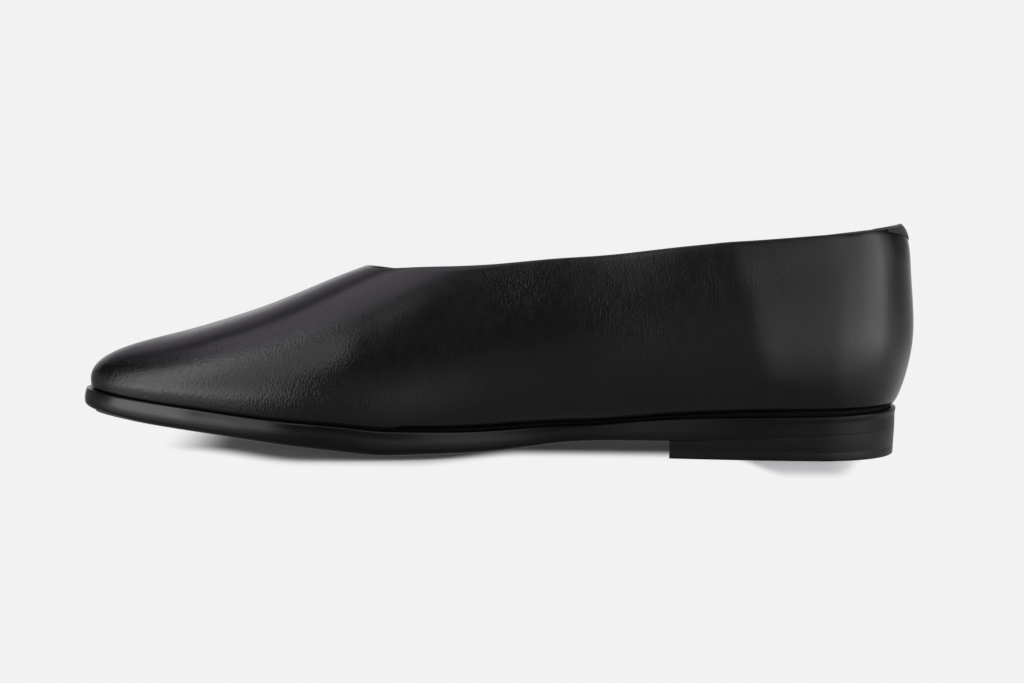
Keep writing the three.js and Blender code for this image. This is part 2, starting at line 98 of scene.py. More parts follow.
# Topline from the heel to the throat, as a share of the way up to the quarter height
toplineTable = {
    "station": [0.0, 0.1, 0.2, 0.3, 0.4, 0.5, 0.6, throatStation],
    "rise": [1.0, 0.838, 0.635, 0.51, 0.455, 0.355, 0.21, 0.0],
}
# Underside of the outsole along its middle, as shares of the heel lift and the toe spring
archTable = {
    "station": [0.0, 0.14, 0.28, 0.37, 0.42, 0.46, 0.51, 0.55],
    "rise": [1.0, 0.835, 0.62, 0.49, 0.35, 0.18, 0.035, 0.0],
}
springTable = {
    "station": [0.615, 0.64, 0.66, 0.68, 0.73, 0.78, 0.83, 0.88, 0.93, 1.0],
    "rise": [0.0, 0.022, 0.07, 0.132, 0.272, 0.415, 0.56, 0.672, 0.785, 1.0],
}
# Thickness of outsole and midsole, extension and roundness of the outsole's edge
soleTable = {
    "station": [0.0, 0.12, 0.29, 0.38, 0.47, 0.56, 0.66, 0.8, 0.92, 1.0],
    "outsole": [0.65, 0.66, 0.745, 0.65, 0.84, 0.93, 1.01, 0.92, 0.9, 0.83],
    "midsole": [0.75, 0.95, 0.5, 0.5, 0.6, 0.55, 0.4, 0.34, 0.34, 0.34],
    "extension": [0.15, 0.45, 0.5, 0.4, 0.6, 0.85, 0.9, 1.0, 0.97, 0.93],
    "roundness": [0.0, 0.0, 0.1, 0.5, 0.9, 1.0, 1.0, 1.0, 1.0, 1.0],
}


# Smooth curve (natural cubic spline) through one column of a table
def curve(table, column):
    x = np.array(table["station"], float)
    y = np.array(table[column], float)
    steps = np.diff(x)
    count = len(x)
    system = np.eye(count)
    turns = np.zeros(count)
    for i in range(1, count - 1):
        system[i, i - 1:i + 2] = steps[i - 1], 2 * (steps[i - 1] + steps[i]), steps[i]
        turns[i] = 6 * ((y[i + 1] - y[i]) / steps[i] - (y[i] - y[i - 1]) / steps[i - 1])
    bend = np.linalg.solve(system, turns)

    def value(station):
        s = np.clip(station, x[0], x[-1])
        i = np.clip(np.searchsorted(x, s, side="right") - 1, 0, count - 2)
        left = (x[i + 1] - s) / steps[i]
        right = (s - x[i]) / steps[i]
        sag = (bend[i] * (left ** 3 - left) + bend[i + 1] * (right ** 3 - right)) * steps[i] ** 2 / 6
        return left * y[i] + right * y[i + 1] + sag

    return value


innerWidth = curve(planTable, "inner")
outerWidth = curve(planTable, "outer")
sectionPower = curve(sectionTable, "power")
bellyHeight = curve(sectionTable, "belly")
innerBelly = curve(sectionTable, "inner")
outerBelly = curve(sectionTable, "outer")
ridgeRise = curve(ridgeTable, "rise")
toplineRise = curve(toplineTable, "rise")
archRise = curve(archTable, "rise")
springRise = curve(springTable, "rise")
outsoleShare = curve(soleTable, "outsole")
midsoleShare = curve(soleTable, "midsole")
extensionShare = curve(soleTable, "extension")
roundnessShare = curve(soleTable, "roundness")


def share(value, start, end):
    return np.clip((value - start) / (end - start), 0, 1)


def ease(value):
    return value * value * (3 - 2 * value)


def blend(a, b, t):
    return a + (b - a) * t


# An angle goes around the shoe: 0 at the back of the heel, PI at the toe along the outer side
# and -PI at the toe along the inner side. A station runs from 0 at the heel to 1 at the toe
def stationAt(angle):
    return (1 - np.cos(angle)) / 2


def angleAt(station):
    return np.arccos(1 - 2 * station)


def lengthwise(station):
    return lastShape["heelBack"] - lastShape["length"] * station


# Heights from the floor up: tread, top of the outsole, midsole and feather line
def treadHeight(station):
    arch = np.maximum(0, lastShape["heelLift"] * archRise(station))
    return arch + np.maximum(0, lastShape["toeSpring"] * springRise(station))


def outsoleTop(station):
    return treadHeight(station) + lastShape["soleThickness"] * outsoleShare(station)


def featherHeight(station):
    return outsoleTop(station) + 2 * lastShape["gap"] + lastShape["midsoleThickness"] * midsoleShare(station)


def middleLine(station):
    return -lastShape["toeSwing"] * share(station, lastShape["swingFrom"], 1) ** 2


# Feather line in plan: half width times a rounding at both ends, on the side of the angle
def featherPlan(angle):
    station = stationAt(angle)
    side = np.sign(np.sin(angle))
    width = lastShape["ballWidth"] * np.where(side < 0, innerWidth(station), outerWidth(station))
    toeLength, toePower = lastShape["toeRound"]
    heelLength, heelPower = lastShape["heelRound"]
    toe = np.sqrt(1 - (1 - share(1 - station, 0, toeLength)) ** toePower)
    heel = np.sqrt(1 - (1 - share(station, 0, heelLength)) ** heelPower)
    return np.stack([lengthwise(station), middleLine(station) + side * width * toe * heel], -1)


# The feather line moved outwards by a distance
def outline(angle, distance):
    small = 0.002
    along = featherPlan(angle + small) - featherPlan(angle - small)
    along /= np.linalg.norm(along, axis=-1, keepdims=True)
    outward = np.stack([along[..., 1], -along[..., 0]], -1)
    return featherPlan(angle) + outward * np.asarray(distance)[..., None]


# Line over the middle of the shoe that the ribs climb to, from which they fan out at both ends
def spinePlan(station):
    toeFan = lastShape["toeReach"] * ease(share(station, lastShape["toeFanFrom"], 1))
    heelFan = lastShape["heelReach"] * (1 - ease(share(station, 0, lastShape["heelFanTo"])))
    lean = lastShape["instepLean"] * np.sin(np.pi * share(station, lastShape["leanFrom"], 1))
    return np.stack([lengthwise(station) + toeFan - heelFan, middleLine(station) - lean], -1)


def ridgeHeight(station):
    return lastShape["vampHeight"] * ridgeRise(station)


# How much of the way to the closed ridge a rib climbs: 1 on the vamp, less along the opening
def ribCut(angle):
    station = stationAt(angle)
    topline = blend(ridgeHeight(throatStation), lastShape["quarterHeight"], toplineRise(station))
    fromBack = np.sin(np.pi / 2 * share(angle, 0, lastShape["dropReach"]))
    fromThroat = np.sin(np.pi / 2 * share(throatStation - station, 0, lastShape["dropThroat"]))
    topline = topline - lastShape["outerDrop"] * fromBack * fromThroat
    return np.where(station >= throatStation - 1e-9, 1, np.minimum(1, topline / ridgeHeight(station)))


# Outer skin: a superellipse from the feather line up to the spine, pushed out by a sine belly
def upperSurface(angle, climb):
    angle, climb = np.broadcast_arrays(angle, climb)
    station = stationAt(angle)
    power = sectionPower(station)
    cut = ribCut(angle)
    turn = np.arcsin(cut ** (power / 2)) * climb ** (power / 2)
    height = np.sin(turn) ** (2 / power)
    reach = np.maximum(0, np.cos(turn)) ** (2 / power)
    carry = blend(lastShape["openCarry"], 1, ease(share(station, lastShape["carryFrom"], throatStation)))
    lift = np.log(0.5 / carry) / np.log(bellyHeight(station))
    belly = lastShape["fullness"] * np.where(angle < 0, innerBelly(station), outerBelly(station))
    push = belly * np.sin(np.pi * carry * (height / cut) ** lift)
    fromTop = (cut - height) * ridgeHeight(station)
    opened = ease(share(throatStation - station, 0, 0.04))
    for (inward, tall), where in ((lastShape["collarRoll"], opened), (lastShape["backRoll"], np.exp(-(angle / 0.35) ** 2))):
        push = push - inward * where * share(fromTop, tall, 0) ** 2
    for (amount, at, wide), place, narrow in ((lastShape["backFull"], height / cut, 0.6), (lastShape["backTop"], fromTop, 0.6)):
        push = push + amount * np.exp(-(angle / narrow) ** 2 - ((place - at) / wide) ** 2)
    spine = spinePlan(station)
    rib = featherPlan(angle) - spine
    plan = spine + rib * (reach + push / np.linalg.norm(rib, axis=-1))[..., None]
    overStation = np.where(station < throatStation, station, (lastShape["heelBack"] - plan[..., 0]) / lastShape["length"])
    top = ridgeHeight(overStation) + featherHeight(overStation)
    feather = featherHeight(station)
    return np.concatenate([plan, (feather + (top - feather) * height)[..., None]], -1)


# Mesh helpers: point numbers are kept in grids, and faces are made between their neighbours

def bandFaces(ids, closed=False):
    other = np.roll(ids, -1, 0) if closed else ids[1:]
    here = ids if closed else ids[:-1]
    quads = np.stack([here[:, :-1], other[:, :-1], other[:, 1:], here[:, 1:]], -1)
    return quads.reshape(-1, 4)


# Unit normal of each point, from the faces around it weighted by their area
def pointNormals(points, quads):
    a, b, c, d = (points[quads[:, k]] for k in range(4))
    area = np.cross(c - a, d - b)
    normals = np.zeros_like(points)
    for k in range(4):
        np.add.at(normals, quads[:, k], area)
    length = np.linalg.norm(normals, axis=1, keepdims=True)
    return normals / np.maximum(length, 1e-9)


# Quads with two equal corners become triangles
def cleanFaces(quads):
    quads = np.asarray(quads)
    twin = quads == np.roll(quads, -1, 1)
    whole = quads[~twin.any(1)].tolist()
    rest = []
    for quad in quads[twin.any(1)].tolist():
        corners = list(dict.fromkeys(quad))
        if len(corners) == 3:
            rest.append(corners)
    return whole, rest


# One piece of the shoe from points in millimetres and groups of faces, one material to a group
def newPiece(name, points, groups, materials, stands=(), sharpAngle=60.0):
    faces = []
    slots = []
    for index, quads in enumerate(groups):
        whole, rest = cleanFaces(quads)
        faces += whole + rest
        slots += [min(index, len(materials) - 1)] * (len(whole) + len(rest))
    flat = np.array([face[:3] for face in faces])
    a, b, c = (points[flat[:, k]] for k in range(3))
    if np.einsum("ij,ij->i", a, np.cross(b, c)).sum() < 0:
        faces = [face[::-1] for face in faces]
    mesh = bpy.data.meshes.new(name)
    mesh.from_pydata((points * mm).tolist(), [], faces)
    for material in materials:
        mesh.materials.append(material)
    mesh.polygons.foreach_set("material_index", slots)
    mesh.polygons.foreach_set("use_smooth", [True] * len(faces))
    mesh.set_sharp_from_angle(angle=np.radians(sharpAngle))
    mesh.update()
    piece = bpy.data.objects.new(name, mesh)
    bpy.context.scene.collection.objects.link(piece)
    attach(piece, "root")
    if stands:
        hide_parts(*stands)
    print(name, len(mesh.vertices), "points")
    return piece


def joinParts(parts):
    points = []
    quads = []
    start = 0
    for partPoints, partQuads in parts:
        points.append(partPoints)
        quads.append(partQuads + start)
        start += len(partPoints)
    return np.concatenate(points), np.concatenate(quads)


# Material helpers

def newMaterial(name):
    material = bpy.data.materials.new(name)
    material.use_nodes = True
    tree = material.node_tree
    shader = next(n for n in tree.nodes if n.type == "BSDF_PRINCIPLED")
    return material, tree, shader


# Adds a node; an input may be a number, a colour or the output of another node
def add(tree, kind, inputs, **settings):
    node = tree.nodes.new(kind)
    for key, value in settings.items():
        setattr(node, key, value)
    for key, value in inputs.items():
        if isinstance(value, bpy.types.NodeSocket):
            tree.links.new(value, node.inputs[key])
        else:
            node.inputs[key].default_value = value
    return node


def compute(tree, operation, a, b=0.0):
    return add(tree, "ShaderNodeMath", {0: a, 1: b}, operation=operation).outputs[0]


# Object coordinates in millimetres, stretched along each axis
def millimetres(tree, stretch=(1, 1, 1)):
    place = add(tree, "ShaderNodeTexCoord", {}).outputs["Object"]
    scale = tuple(1000 * s for s in stretch)
    return add(tree, "ShaderNodeMapping", {"Vector": place, "Scale": scale}).outputs["Vector"]


def noise(tree, vector, scale, detail=3.0, roughness=0.5, distortion=0.0):
    inputs = {"Vector": vector, "Scale": scale, "Detail": detail, "Roughness": roughness, "Distortion": distortion}
    return add(tree, "ShaderNodeTexNoise", inputs).outputs["Fac"]


def between(tree, value, fromLow, fromHigh, toLow, toHigh):
    inputs = {"Value": value, "From Min": fromLow, "From Max": fromHigh, "To Min": toLow, "To Max": toHigh}
    return add(tree, "ShaderNodeMapRange", inputs, interpolation_type="SMOOTHSTEP").outputs[0]


def mixColor(tree, factor, first, second):
    inputs = {0: factor, 6: (*first, 1), 7: (*second, 1)}
    return add(tree, "ShaderNodeMix", inputs, data_type="RGBA").outputs[2]


def bump(tree, height, depth, below=None):
    inputs = {"Height": height, "Distance": depth * mm, "Strength": 1.0}
    if below is not None:
        inputs["Normal"] = below
    return add(tree, "ShaderNodeBump", inputs).outputs["Normal"]


leatherLook = {
    "color": (0.0024, 0.0024, 0.0025),
    "worn": (0.0032, 0.0031, 0.0031),
    "roughness": (0.235, 0.265),
    "specular": 0.5,
    "waveDepth": 0.1,  # slow unevenness of the leather
    "grainSize": 1.3,  # cells per millimetre
    "grainDepth": 0.08,
    "poreDepth": 0.016,
    "crinkleDepth": 0.024,
    "masked": True,  # grain and crinkles follow the marks on the upper
    "pore": 3.2,
}


# Soft leather: long cells of grain that run up the wall, fine pores and hairline crinkles where the
# attribute says so, over a slow change of gloss
def makeLeather(name, look):
    material, tree, shader = newMaterial(name)
    plain = millimetres(tree)
    drift = noise(tree, millimetres(tree, (1.0, 1.0, 0.35)), 0.4, 3.0)
    stretched = millimetres(tree, (1.5, 1.5, 0.62))
    wobble = add(tree, "ShaderNodeTexNoise", {"Vector": plain, "Scale": 0.5, "Detail": 2.0}).outputs["Color"]
    moved = add(tree, "ShaderNodeVectorMath", {0: wobble, 1: (1.6, 1.6, 1.6)}, operation="MULTIPLY").outputs[0]
    cellPlace = add(tree, "ShaderNodeVectorMath", {0: stretched, 1: moved}, operation="ADD").outputs[0]
    cells = add(tree, "ShaderNodeTexVoronoi", {"Vector": cellPlace, "Scale": look["grainSize"], "Smoothness": 0.6},
                feature="SMOOTH_F1").outputs["Distance"]
    pores = noise(tree, plain, look["pore"], 4.0, 0.65)
    patches = noise(tree, plain, 0.045, 2.0)
    strength = add(tree, "ShaderNodeAttribute", {}, attribute_name="grain").outputs["Fac"] if look["masked"] else 1.0
    grainHeight = compute(tree, "MULTIPLY", cells, strength)
    crinkle = add(tree, "ShaderNodeAttribute", {}, attribute_name="crinkle").outputs["Fac"]
    steep = add(tree, "ShaderNodeVectorMath", {0: millimetres(tree, (1.5, 1.5, 0.45)), 1: moved}, operation="ADD")
    cracks = add(tree, "ShaderNodeTexVoronoi", {"Vector": steep.outputs[0], "Scale": 0.6},
                 feature="DISTANCE_TO_EDGE").outputs["Distance"]
    line = compute(tree, "MULTIPLY", between(tree, cracks, 0.0, 0.16, 1.0, 0.0), crinkle)
    normal = bump(tree, noise(tree, plain, 0.08, 1.0), look["waveDepth"])
    normal = bump(tree, pores, look["poreDepth"], normal)
    normal = bump(tree, grainHeight, -look["grainDepth"], normal)
    normal = bump(tree, line, look["crinkleDepth"], normal)
    low, high = look["roughness"]
    rough = between(tree, drift, 0.3, 0.7, low, high)
    rough = compute(tree, "ADD", rough, compute(tree, "MULTIPLY", line, 0.008))
    shade = between(tree, patches, 0.35, 0.75, 0.0, 1.0)
    tree.links.new(mixColor(tree, shade, look["color"], look["worn"]), shader.inputs["Base Color"])
    tree.links.new(rough, shader.inputs["Roughness"])
    tree.links.new(normal, shader.inputs["Normal"])
    shader.inputs["Specular IOR Level"].default_value = look["specular"]
    return material


upperLeather = makeLeather("upperLeather", leatherLook)
liningLeather = makeLeather("liningLeather", {**leatherLook, "color": (0.007, 0.0066, 0.0063), "worn": (0.011, 0.0103, 0.0098),
                                              "roughness": (0.5, 0.6), "specular": 0.35, "grainSize": 1.6,
                                              "grainDepth": 0.025, "masked": False})
sockLeather = makeLeather("sockLeather", {**leatherLook, "color": (0.009, 0.0085, 0.008), "worn": (0.014, 0.013, 0.0122),
                                          "roughness": (0.5, 0.62), "specular": 0.35, "grainSize": 1.4,
                                          "grainDepth": 0.03, "masked": False})

edgeLook = {
    "color": (0.0028, 0.0028, 0.0029),
    "scuffed": (0.005, 0.0049, 0.0048),
    "roughness": (0.17, 0.2),
    "specular": 0.52,
    "streakDepth": 0.012,
    "dullRough": 0.15,  # how much rougher and less bright the edge is where the attribute says so
    "dullAndShadeShine": 0.4,
}


# Inked and polished edge: faint streaks that run along the layers, and a few duller spots
def makeEdge(name, look):
    material, tree, shader = newMaterial(name)
    along = millimetres(tree, (0.06, 0.06, 3.0))
    streaks = noise(tree, along, 1.0, 4.0, 0.6)
    spots = noise(tree, millimetres(tree), 0.28, 3.0, 0.6)
    fine = noise(tree, millimetres(tree), 2.5, 3.0, 0.6)
    low, high = look["roughness"]
    rough = compute(tree, "ADD", between(tree, spots, 0.35, 0.75, low, high),
                    compute(tree, "MULTIPLY", streaks, 0.06))
    # Where the attribute says so the edge is rougher and less shiny: painted shade on the outsole's lower rounding, and
    # the heel's own less shiny finish at the back
    dullAndShade = add(tree, "ShaderNodeAttribute", {}, attribute_name="dullAndShade").outputs["Fac"]
    rough = compute(tree, "ADD", rough, compute(tree, "MULTIPLY", dullAndShade, look["dullRough"]))
    shine = between(tree, dullAndShade, 0, 1, look["specular"], look["specular"] * look["dullAndShadeShine"])
    normal = bump(tree, fine, look["streakDepth"] * 0.4)
    normal = bump(tree, streaks, look["streakDepth"], normal)
    shade = compute(tree, "MULTIPLY", between(tree, streaks, 0.5, 0.72, 0, 1), between(tree, spots, 0.4, 0.7, 0.3, 1))
    tree.links.new(mixColor(tree, shade, look["color"], look["scuffed"]), shader.inputs["Base Color"])
    tree.links.new(rough, shader.inputs["Roughness"])
    tree.links.new(normal, shader.inputs["Normal"])
    tree.links.new(shine, shader.inputs["Specular IOR Level"])
    return material


soleEdge = makeEdge("soleEdge", edgeLook)
heelStack = makeEdge("heelStack", {**edgeLook, "roughness": (0.34, 0.4), "specular": 0.28})
midsoleBlack = makeEdge("midsoleBlack", {**edgeLook, "color": (0.0035, 0.0035, 0.0035),
                                         "scuffed": (0.0045, 0.0045, 0.0045), "roughness": (0.6, 0.7),
                                         "specular": 0.09})
treadSurface = makeEdge("treadSurface", {**edgeLook, "color": (0.010, 0.0097, 0.0093), "scuffed": (0.022, 0.020, 0.018),
                                         "roughness": (0.5, 0.68), "streakDepth": 0.03})

# The upper

upperShape = {
    "wall": 1.8,
    "edgeRise": 0.45,  # how far the folded topline edge rounds up over the wall
    "ribs": (170, 40, 120),  # along one side: quarter, behind the throat, vamp
    "rows": (47, 10),  # up the wall, and closer together under the topline
    "liningStep": 3,  # the lining uses every third row
    "settle": (0.2, 0.32),  # how far the leather settles on the sole, at the heel and at the toe
    "grainFrom": (-30.0, -56.0),  # the grain grows stronger from here to there
    "quarterGrain": 0.28,
    "smoothTop": (0.72, 0.95),  # where the leather faces up this much the grain has gone
}


def settle(station):
    return blend(*upperShape["settle"], share(station, 0.3, 0.6))

# Soft ridges and troughs of the leather, placed in the shoe's own sizes. Side is -1 on the inner side;
# x runs along the shoe, up is the way up the wall, lean turns the top to the heel, deep is outwards
foldTable = {
    "side": [-1, -1, -1, -1, -1, -1, -1, -1, -1, 1, 1, 1, 1, 1],
    "x": [72, 48, 24, 77, 92, -50, -46, -52, 20, 80, 98, 30, -44, 60],
    "up": [38, 30, 30, 36, 30, 24, 24, 42, 44, 30, 30, 38, 34, 24],
    "lean": [-18, 0, 0, -16, -4, 12, 10, 60, 5, 8, 0, -8, 25, 12],
    "long": [46, 32, 32, 32, 14, 26, 8, 12, 12, 17, 18, 14, 11, 15],
    "wide": [22, 20, 22, 5.5, 7, 14, 6, 4, 7, 7, 7, 8, 5, 9],
    "deep": [1.35, 0.8, 0.9, 0.38, -0.22, 0.35, 0.3, 0.1, -0.12, -0.4, 0.3, -0.2, -0.25, 0.25],
}
# Patches of fine crinkles in the grain
crinkleTable = {
    "side": [-1, -1, -1, -1, -1, -1, 1, 1, 1, 1],
    "x": [6, 32, 48, 66, -36, 84, 10, 40, 70, -34],
    "up": [44, 36, 30, 40, 46, 46, 42, 34, 38, 42],
    "long": [9, 12, 12, 10, 10, 7, 10, 12, 12, 10],
    "wide": [14, 8, 9, 8, 9, 8, 14, 9, 9, 9],
    "strength": [0.8, 0.7, 0.6, 0.7, 0.45, 0.5, 0.7, 0.6, 0.6, 0.45],
}


# Sum of long bell shapes over the side of the shoe
def bells(table, column, angle, x, up):
    total = np.zeros_like(x)
    for k in range(len(table["x"])):
        lean = np.radians(table["lean"][k]) if "lean" in table else 0.0
        dx = x - table["x"][k]
        dz = up - table["up"][k]
        across = dx * np.cos(lean) - dz * np.sin(lean)
        along = dx * np.sin(lean) + dz * np.cos(lean)
        bell = np.exp(-(across / table["wide"][k]) ** 2 - (along / table["long"][k]) ** 2)
        onSide = np.where(np.sign(angle) == table["side"][k], 1.0, 0.0)
        total += table[column][k] * bell * onSide
    return total


def sideAngles(quarter, throat, vamp):
    opened = throatStation - lastShape["throatLength"] / lastShape["length"]
    back = np.linspace(0, angleAt(opened), quarter, endpoint=False)
    turn = np.pi / 2 * (1 - np.arange(throat) / throat)
    middle = angleAt(throatStation - (throatStation - opened) * (1 - np.cos(turn)))
    front = np.linspace(angleAt(throatStation), np.pi, vamp + 1)
    return np.concatenate([back, middle, front])


# Closed wall of the upper: outer skin, rounded topline edge, lining and the strip under the feather line
def buildUpper():
    side = sideAngles(*upperShape["ribs"])
    throatRib = upperShape["ribs"][0] + upperShape["ribs"][1]
    ring = np.concatenate([side, -side[-2:0:-1]])
    count = len(ring)
    wide, fine = upperShape["rows"]
    rows = wide + fine
    climbs = np.concatenate([np.linspace(0, 0.93, wide + 1), np.linspace(0.93, 1, fine + 1)[1:]])
    base = upperSurface(ring[:, None], climbs[None, :])
    base[:, 0, 2] -= settle(stationAt(ring))
    ids = np.arange(base.shape[0] * base.shape[1]).reshape(count, rows + 1)
    vampRibs = np.arange(throatRib, len(side) - 1)
    ids[(count - vampRibs) % count, rows] = ids[vampRibs, rows]
    flat = base.reshape(-1, 3)
    normals = pointNormals(flat, bandFaces(ids, True))
    normals = normals[ids.ravel()]
    if normals[ids[0, 5], 0] < 0:
        normals = -normals
    up = np.concatenate([np.zeros((count, 1)), np.cumsum(np.linalg.norm(np.diff(base, axis=1), axis=2), 1)], 1)
    angle = np.repeat(ring[:, None], rows + 1, 1)
    fade = np.sin(np.pi / 2 * share(up, 0, 12))
    relief = bells(foldTable, "deep", angle, base[..., 0], up) * fade
    crinkle = np.clip(bells(crinkleTable, "strength", angle, base[..., 0], up), 0, 1)
    skin = flat + normals * relief.reshape(-1, 1)
    picked = np.arange(0, rows + 1, upperShape["liningStep"])
    inner = base[:, picked] - upperShape["wall"] * normals.reshape(count, rows + 1, 3)[:, picked]
    inner[:, 0, 2] = base[:, 0, 2]
    innerIds = ids[:, picked].copy()
    order = np.arange(innerIds.size).reshape(innerIds.shape) + len(flat)
    order[(count - vampRibs) % count, -1] = order[vampRibs, -1]
    loop = np.arange(-throatRib, throatRib) % count
    outerEdge = skin[ids[loop, rows]]
    innerEdge = inner.reshape(-1, 3)[order[loop, -1] - len(flat)]
    along = np.roll(outerEdge, -1, 0) - np.roll(outerEdge, 1, 0)
    rise = np.cross(normals[ids[loop, rows]], along)
    rise *= upperShape["edgeRise"] / np.linalg.norm(rise, axis=1, keepdims=True)
    centre = (outerEdge + innerEdge) / 2
    turns = np.linspace(0, np.pi, 9)[1:-1]
    arc = [centre + np.cos(t) * (outerEdge - innerEdge) / 2 + np.sin(t) * rise for t in turns]
    arc = np.stack(arc, 1)
    arcIds = np.arange(arc.shape[0] * arc.shape[1]).reshape(arc.shape[:2]) + len(flat) + inner.shape[0] * inner.shape[1]
    edgeIds = np.concatenate([ids[loop, rows][:, None], arcIds, order[loop, -1][:, None]], 1)
    points = np.concatenate([skin, inner.reshape(-1, 3), arc.reshape(-1, 3)])
    strip = np.stack([order[:, 0], ids[:, 0]], 1)
    groups = [
        np.concatenate([bandFaces(ids, True), bandFaces(edgeIds, True), bandFaces(strip, True)]),
        bandFaces(order[:, ::-1], True),
    ]
    piece = newPiece("upper_leather", points, groups, [upperLeather, liningLeather], ["upper"])
    mask = np.concatenate([crinkle.ravel(), np.zeros(len(points) - crinkle.size)])
    grain = blend(upperShape["quarterGrain"], 1, ease(share(points[:, 0], *upperShape["grainFrom"])))
    grain[:len(normals)] *= 1 - ease(share(normals[:, 2], *upperShape["smoothTop"]))
    for mark, values in (("crinkle", mask), ("grain", grain)):
        piece.data.attributes.new(mark, "FLOAT", "POINT").data.foreach_set("value", values.astype(np.float32))
    return ring, inner


upperRing, liningRibs = buildUpper()

# The soles

soleShape = {
    "perSide": 240,
    "topInset": 0.9,
    "cornerRadius": 0.55,  # rounding of the outsole's top edge
    "edgeRound": 3.4,  # width of the rounded lower edge
    "bulge": 0.2,  # how far the edge bellies out between its corners
    "lip": 0.28,  # small lip along the top edge around the heel
    "topTilt": 0.45,  # how far the top edge is set back, so that the edge faces up a little
    "topRaise": 0.15,
    "treadCamber": 1.3,
    "flatTread": 0.5,
    "strips": 12,
    "brightToe": (-95.0, -60.0),  # in front of here the painted shade on the lower edge grows weaker
    "dullFrom": (50.0, 85.0),  # towards the heel the edge turns as dull as the heel
    "midsoleSetBack": 0.9,
    "sockThickness": 3.0,
    "sockClearance": 0.45,
    "sockDish": 0.5,
}
soleSide = np.linspace(0, np.pi, soleShape["perSide"] + 1)
soleRing = np.concatenate([soleSide, -soleSide[-2:0:-1]])


# Closed plate from rings that run from its top down to its underside. Rungs across the first and the
# last ring close it; a shape function gives the height along a rung
def plateMesh(rings, topShape, bottomShape, strips):
    count = len(rings[0])
    half = count // 2
    points = [np.concatenate(rings)]
    ids = np.arange(len(rings) * count).reshape(len(rings), count).T
    total = points[0].shape[0]
    edge = bandFaces(ids, True)
    covers = []
    for ringIndex, shape in ((0, topShape), (len(rings) - 1, bottomShape)):
        ring = rings[ringIndex]
        near = ring[1:half]
        far = ring[-1:-half:-1]
        across = np.linspace(0, 1, strips + 1)[1:-1]
        inside = near[:, None] + (far - near)[:, None] * across[None, :, None]
        station = (lastShape["heelBack"] - inside[..., 0]) / lastShape["length"]
        inside[..., 2] = shape(station, across[None, :], inside[..., 2])
        number = np.arange(inside.shape[0] * inside.shape[1]).reshape(inside.shape[:2]) + total
        total += number.size
        points.append(inside.reshape(-1, 3))
        grid = np.empty((half + 1, strips + 1), int)
        grid[0] = ids[0, ringIndex]
        grid[half] = ids[half, ringIndex]
        grid[1:half, 0] = ids[1:half, ringIndex]
        grid[1:half, -1] = ids[-1:-half:-1, ringIndex]
        grid[1:half, 1:-1] = number
        faces = bandFaces(grid)
        covers.append(faces if ringIndex == 0 else faces[:, ::-1])
    return np.concatenate(points), [np.concatenate([edge, covers[0][:, ::-1]]), covers[1][:, ::-1]]


def keepHeight(station, across, height):
    return height


# Outsole edge from its top down: flat top, round corner, a bellied side and a round lower edge.
# Corners are quarter ellipses, the belly is a parabola
def buildOutsole():
    station = stationAt(soleRing)
    round_ = np.clip(roundnessShare(station), 0, 1)
    low = treadHeight(station) + soleShape["treadCamber"] * round_
    top = outsoleTop(station) + soleShape["topRaise"]
    height = top - low
    tilt = soleShape["topTilt"] * round_
    reach = lastShape["extension"] * extensionShare(station)
    corner = soleShape["cornerRadius"]
    lowWide = 0.06 + (soleShape["edgeRound"] - 0.06) * round_
    lowTall = 0.06 + (0.32 * height - 0.06) * round_
    lip = soleShape["lip"] * (1 - share(station, 0.2, 0.36))
    rings = []

    def addRing(inset, z):
        edge = outline(soleRing, reach - inset)
        rings.append(np.concatenate([edge, z[:, None]], 1))

    addRing(soleShape["topInset"] + corner, top)
    for t in np.linspace(0, np.pi / 2, 5):
        addRing(tilt + corner * (1 - np.sin(t)) - lip, top - corner * (1 - np.cos(t)))
    for t in np.linspace(0, 1, 11)[1:-1]:
        belly = soleShape["bulge"] * round_ * (1 - (2 * t - 1) ** 2)
        fading = lip * np.clip(1 - 3.2 * t, 0, 1)
        addRing(tilt * (1 - t) - belly - fading, blend(top - corner, low + lowTall, t))
    for t in np.linspace(0, np.pi / 2, 8):
        addRing(lowWide * (1 - np.cos(t)), low + lowTall * (1 - np.sin(t)))

    def tread(at, across, z):
        outward = share(np.abs(2 * across - 1), soleShape["flatTread"], 1)
        return treadHeight(at) + soleShape["treadCamber"] * np.clip(roundnessShare(at), 0, 1) * outward ** 2

    points, groups = plateMesh(rings, keepHeight, tread, soleShape["strips"])
    piece = newPiece("outsole_edge", points, groups, [soleEdge, treadSurface], ["outsole"])
    # Painted shade: the lower rounding and the tread are made rougher and less shiny, as if they sat in the shoe's
    # contact shadow, less so at the toe; towards the heel the edge takes the heel's own less shiny finish
    lowerEdgeShade = np.concatenate([np.repeat(share(np.arange(len(rings)), 8, 14), len(soleRing)),
                              np.ones(len(points) - len(rings) * len(soleRing))])
    lowerEdgeShade = lowerEdgeShade * blend(0.6, 1, share(points[:, 0], *soleShape["brightToe"]))
    dullAndShade = np.maximum(lowerEdgeShade, ease(share(points[:, 0], *soleShape["dullFrom"])))
    piece.data.attributes.new("dullAndShade", "FLOAT", "POINT").data.foreach_set("value", dullAndShade.astype(np.float32))


buildOutsole()


# Midsole: thin plate whose edge is a dark line between outsole and upper
def buildMidsole():
    station = stationAt(soleRing)
    low = outsoleTop(station) + soleShape["topRaise"] - 0.02
    high = featherHeight(station) - settle(station) + 0.02
    rings = []
    for inset, t in ((2.0, 1.0), (0.1, 1.0), (0.0, 0.9), (0.0, 0.1), (0.1, 0.0), (2.0, 0.0)):
        edge = outline(soleRing, -soleShape["midsoleSetBack"] - inset + 0 * station)
        rings.append(np.concatenate([edge, blend(low, high, t)[:, None]], 1))
    points, groups = plateMesh(rings, keepHeight, keepHeight, 2)
    newPiece("midsole_line", points, groups, [midsoleBlack], ["midsole"])


